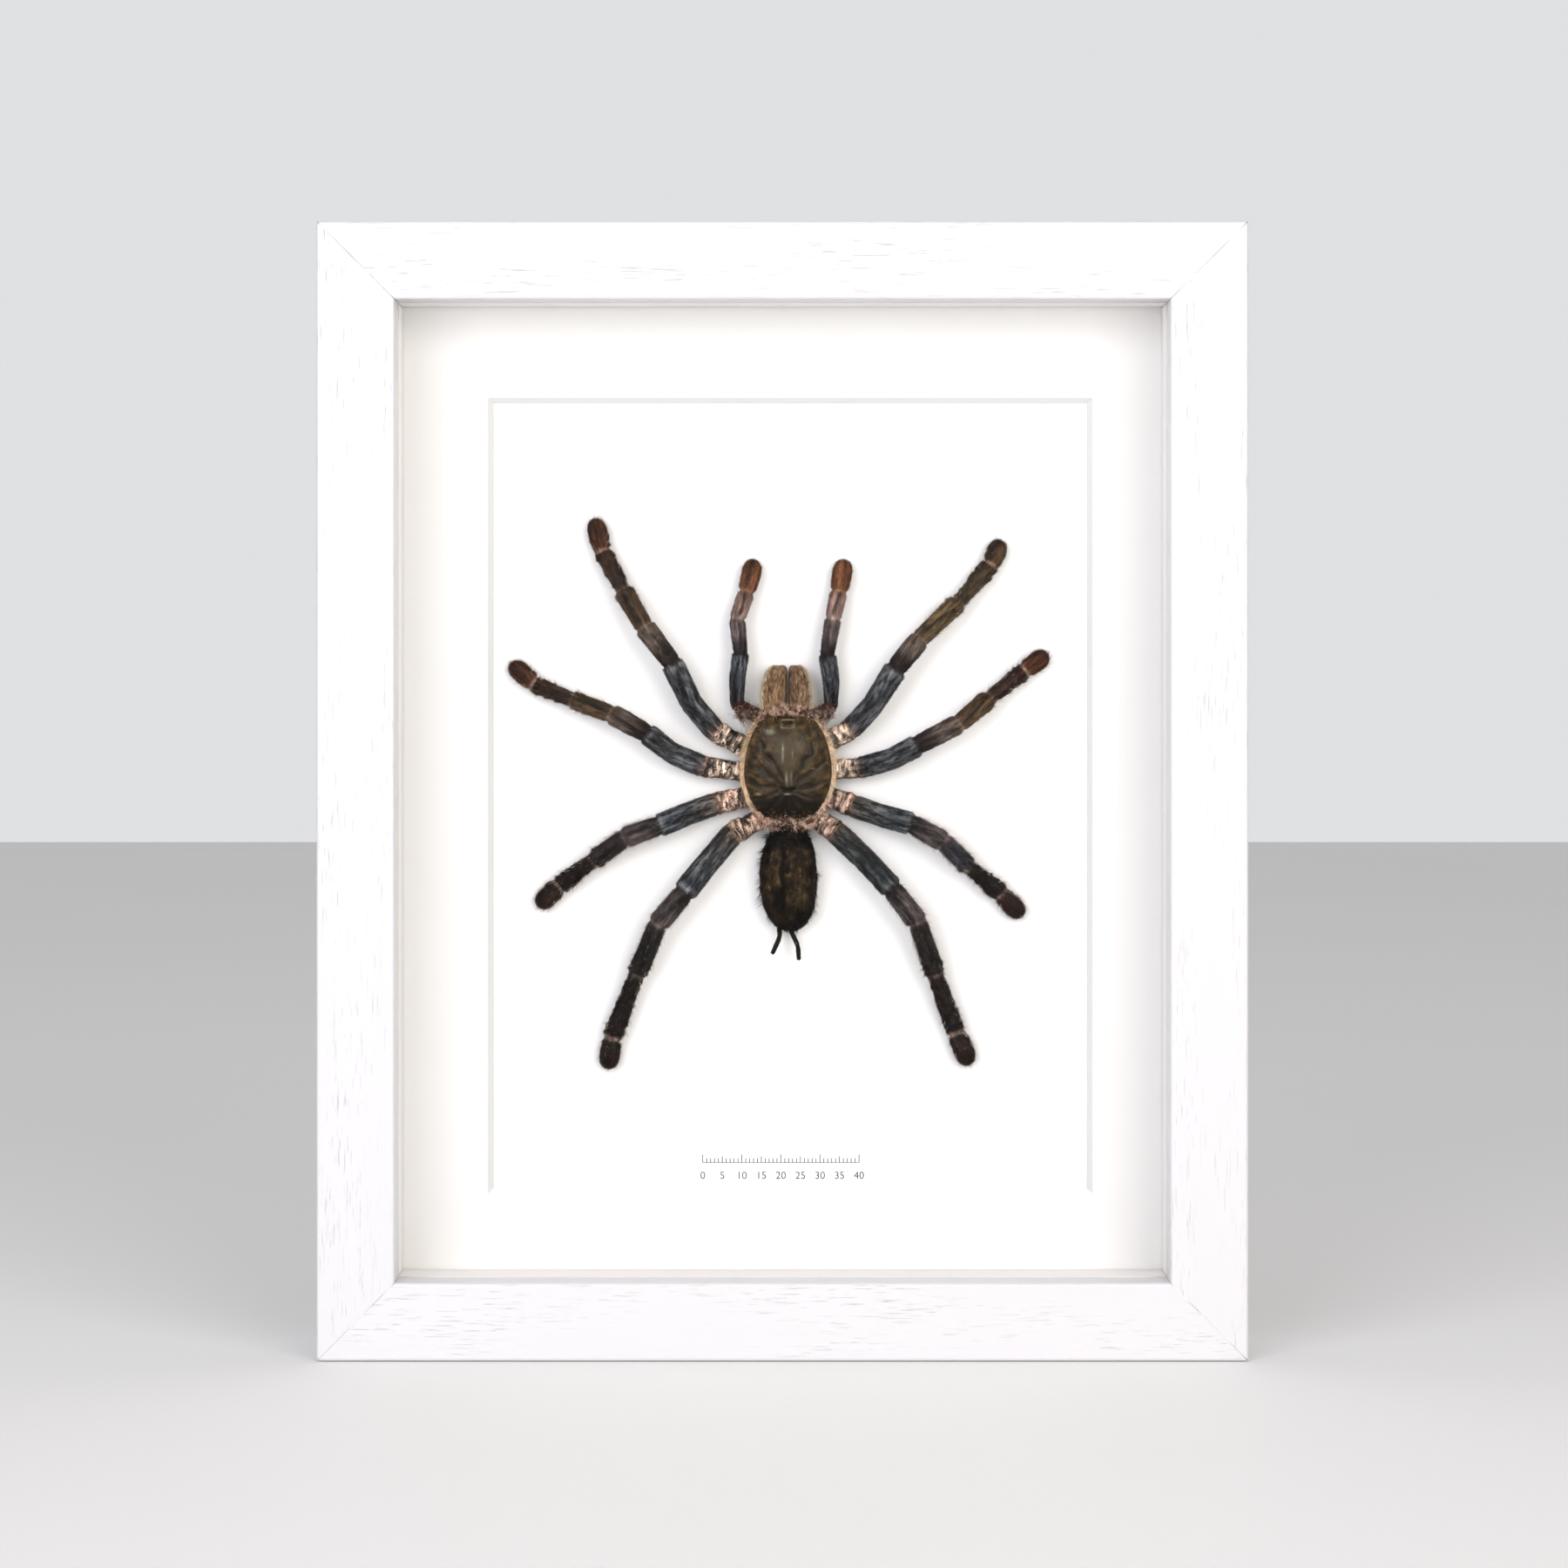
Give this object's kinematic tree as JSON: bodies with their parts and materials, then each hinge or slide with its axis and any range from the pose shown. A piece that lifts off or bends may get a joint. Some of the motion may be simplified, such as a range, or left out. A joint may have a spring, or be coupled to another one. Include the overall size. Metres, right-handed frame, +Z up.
{
  "type": "framed tarantula specimen",
  "caption": "Dried tarantula spread on white card behind a bevelled window mount, in a deep white wooden box frame that stands on its bottom rail.",
  "frame": {"origin": "middle of the underside of the bottom rail", "axes": "+Z up, +X to the right as seen from the front, and the glass faces -Y"},
  "size_m": [0.233, 0.035, 0.285],
  "materials": {
    "painted_wood": "white satin paint over open grain",
    "picture_glass": "clear polished",
    "spacer_board": "matt white",
    "mount_board": "matt off-white, white core",
    "card": "matt white",
    "fibreboard": "raw brown fibreboard",
    "plated_steel": "zinc plated",
    "carapace_shell": "dry olive brown shell with flat hair",
    "abdomen_skin": "shrivelled dark brown skin",
    "jaw_shell": "tan hair",
    "leg_hair": "slate blue to brown hair",
    "palp_hair": "slate blue to red brown hair",
    "spinneret_skin": "dark dry skin"
  },
  "bodies": {
    "root": {"rail_top": "painted_wood", "rail_bottom": "painted_wood", "rail_left": "painted_wood", "rail_right": "painted_wood", "glass": "picture_glass", "spacer_top": "spacer_board", "spacer_bottom": "spacer_board", "spacer_left": "spacer_board", "spacer_right": "spacer_board", "window_mount": "mount_board", "specimen_card": "card", "backboard": "fibreboard", "flex_tab_bottom_a": "plated_steel", "flex_tab_bottom_b": "plated_steel", "flex_tab_top_a": "plated_steel", "flex_tab_top_b": "plated_steel", "flex_tab_left_a": "plated_steel", "flex_tab_left_b": "plated_steel", "flex_tab_right_a": "plated_steel", "flex_tab_right_b": "plated_steel", "sawtooth_hanger": "plated_steel", "hanger_rivet_left": "plated_steel", "hanger_rivet_right": "plated_steel", "cephalothorax": "carapace_shell", "abdomen": "abdomen_skin", "chelicera_left": "jaw_shell", "chelicera_right": "jaw_shell", "leg_1_left": "leg_hair", "leg_1_right": "leg_hair", "leg_2_left": "leg_hair", "leg_2_right": "leg_hair", "leg_3_left": "leg_hair", "leg_3_right": "leg_hair", "leg_4_left": "leg_hair", "leg_4_right": "leg_hair", "palp_left": "palp_hair", "palp_right": "palp_hair", "spinneret_left": "spinneret_skin", "spinneret_right": "spinneret_skin"}
  },
  "joints": []
}
